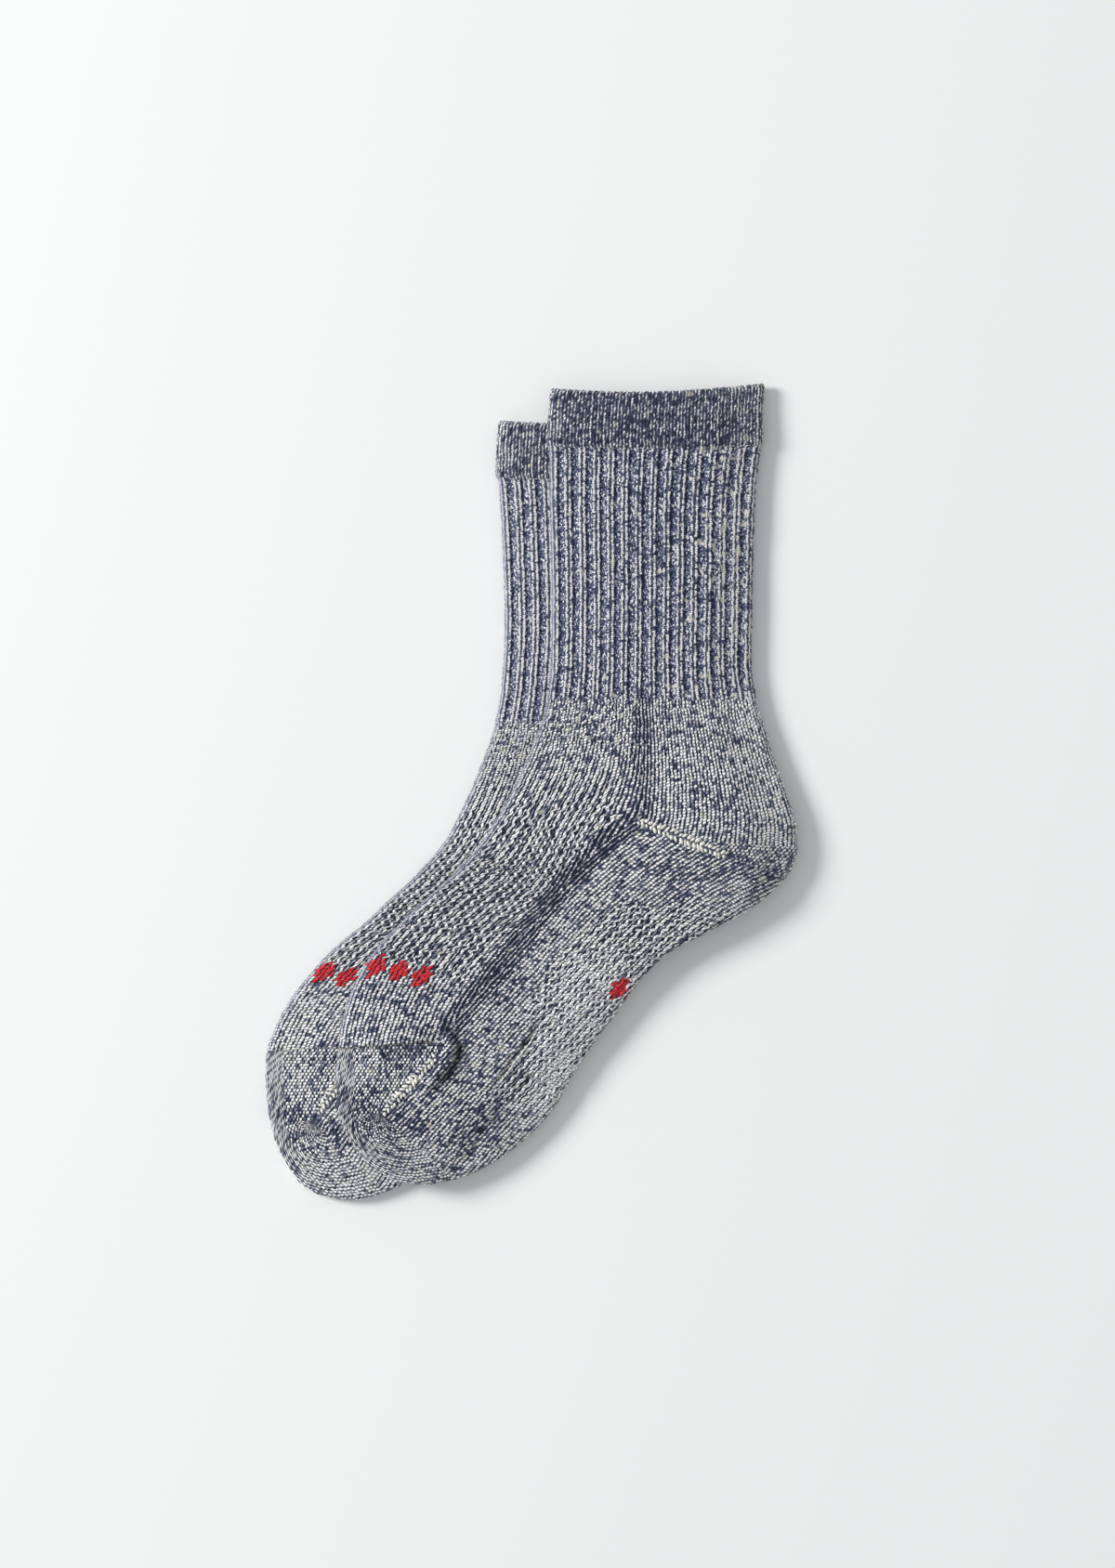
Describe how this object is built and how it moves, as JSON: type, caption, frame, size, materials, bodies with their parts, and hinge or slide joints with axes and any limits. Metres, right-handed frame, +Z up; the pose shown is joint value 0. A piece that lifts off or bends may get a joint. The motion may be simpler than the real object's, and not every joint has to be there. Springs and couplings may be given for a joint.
{
  "type": "pair of crew socks",
  "caption": "Pair of thick marled crew socks with ribbed legs, turned cuffs and closed toes, laid flat with one sock overlapping the other.",
  "frame": {"origin": "middle of the pair's outline seen from above, on the surface that the socks lie on", "axes": "+Z up from that surface towards the viewer, +Y from the toes to the cuffs, +X from the front folds to the heels"},
  "size_m": [0.2282, 0.3502, 0.0187],
  "materials": {
    "upper_knit": "matte marled knit",
    "lower_knit": "matte marled knit"
  },
  "bodies": {
    "root": {"upper_sock": "upper_knit", "lower_sock": "lower_knit"}
  },
  "joints": []
}
